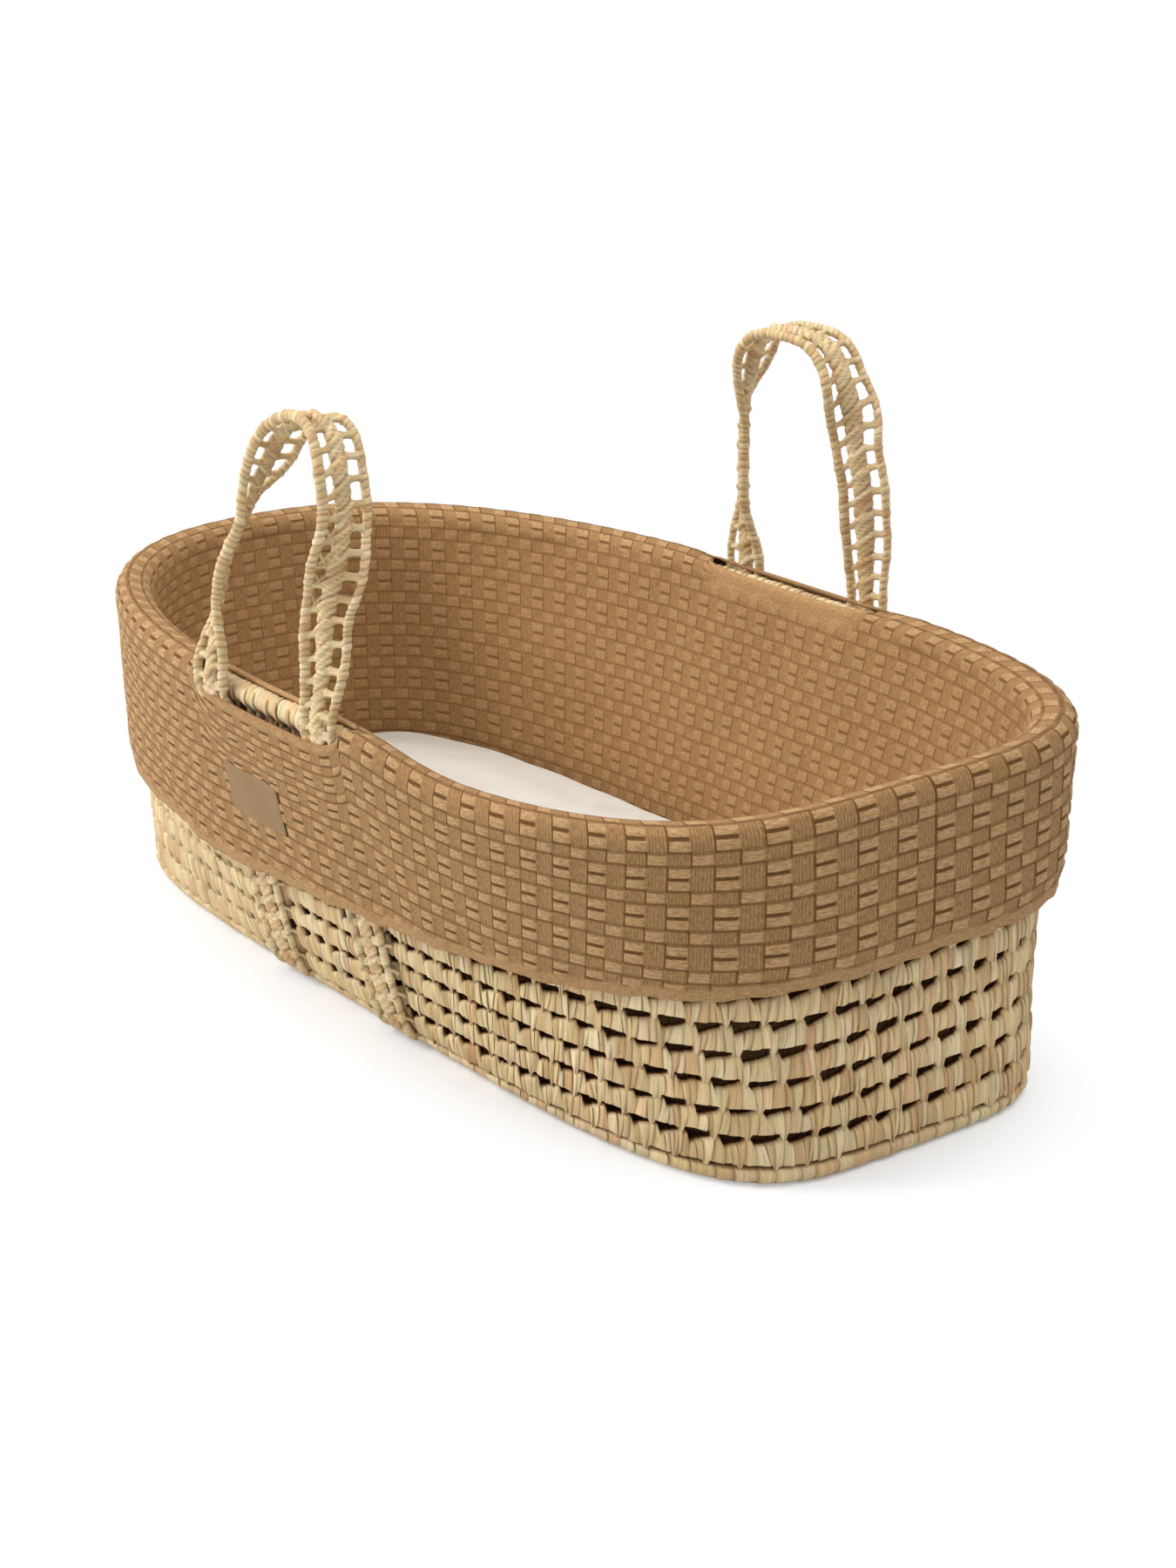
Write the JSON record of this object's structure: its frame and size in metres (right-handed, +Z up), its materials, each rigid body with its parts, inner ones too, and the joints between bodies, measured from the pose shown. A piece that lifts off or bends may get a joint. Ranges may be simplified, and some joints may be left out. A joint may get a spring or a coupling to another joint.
{
  "type": "moses basket bassinet",
  "caption": "Open-weave palm-leaf carrying basket for a baby, with openwork handles, a knitted cover folded over the rim and a thin mattress inside.",
  "frame": {"origin": "on the floor, under the middle of the whole basket's footprint", "axes": "+Z up, +X towards the squarer head end, -Y towards the front long side, which carries the patch"},
  "size_m": [0.8424, 0.4752, 0.4516],
  "materials": {
    "woven_palm": "dry natural palm leaf, matte",
    "wrapped_palm": "dry natural palm leaf, slight sheen",
    "knit": "caramel basket-weave cotton knit",
    "knit_binding": "fine ribbed knit band",
    "elastic": "woven elastic tape",
    "patch": "smooth tan patch, bare",
    "foam": "soft open-cell foam",
    "cotton": "plain cream cotton",
    "zip_tape": "cream coil zip on tape"
  },
  "bodies": {
    "basket": {"woven_floor": "woven_palm", "wall_row_01": "woven_palm", "wall_row_02": "woven_palm", "wall_row_03": "woven_palm", "wall_row_04": "woven_palm", "wall_row_05": "woven_palm", "wall_row_06": "woven_palm", "wall_row_07": "woven_palm", "wall_row_08": "woven_palm", "wall_row_09": "woven_palm", "wall_row_10": "woven_palm", "wall_row_11": "woven_palm", "rim_roll": "wrapped_palm", "foot_side_strap": "woven_palm", "head_side_strap": "woven_palm", "knitted_cover": "knit", "hem_elastic": "elastic", "front_slot_binding": "knit_binding", "back_slot_binding": "knit_binding", "label_patch": "patch"},
    "front_handle_body": {"front_handle": "wrapped_palm"},
    "back_handle_body": {"back_handle": "wrapped_palm"},
    "mattress": {"mattress_cover": "cotton", "mattress_foam": "foam", "mattress_zip": "zip_tape"}
  },
  "joints": [
    {"name": "front_handle_swing", "type": "hinge", "parent": "basket", "child": "front_handle_body", "pos_m": [0.00312, -0.23168, 0.24549], "axis": [1, 0, 0], "range_deg": [-63, 150]},
    {"name": "back_handle_swing", "type": "hinge", "parent": "basket", "child": "back_handle_body", "pos_m": [0.03312, 0.22673, 0.25691], "axis": [-1, 0, 0], "range_deg": [-69, 144]},
    {"name": "mattress_lift", "type": "slide", "parent": "basket", "child": "mattress", "axis": [0, 0, 1], "range_m": [0, 0.15]}
  ]
}
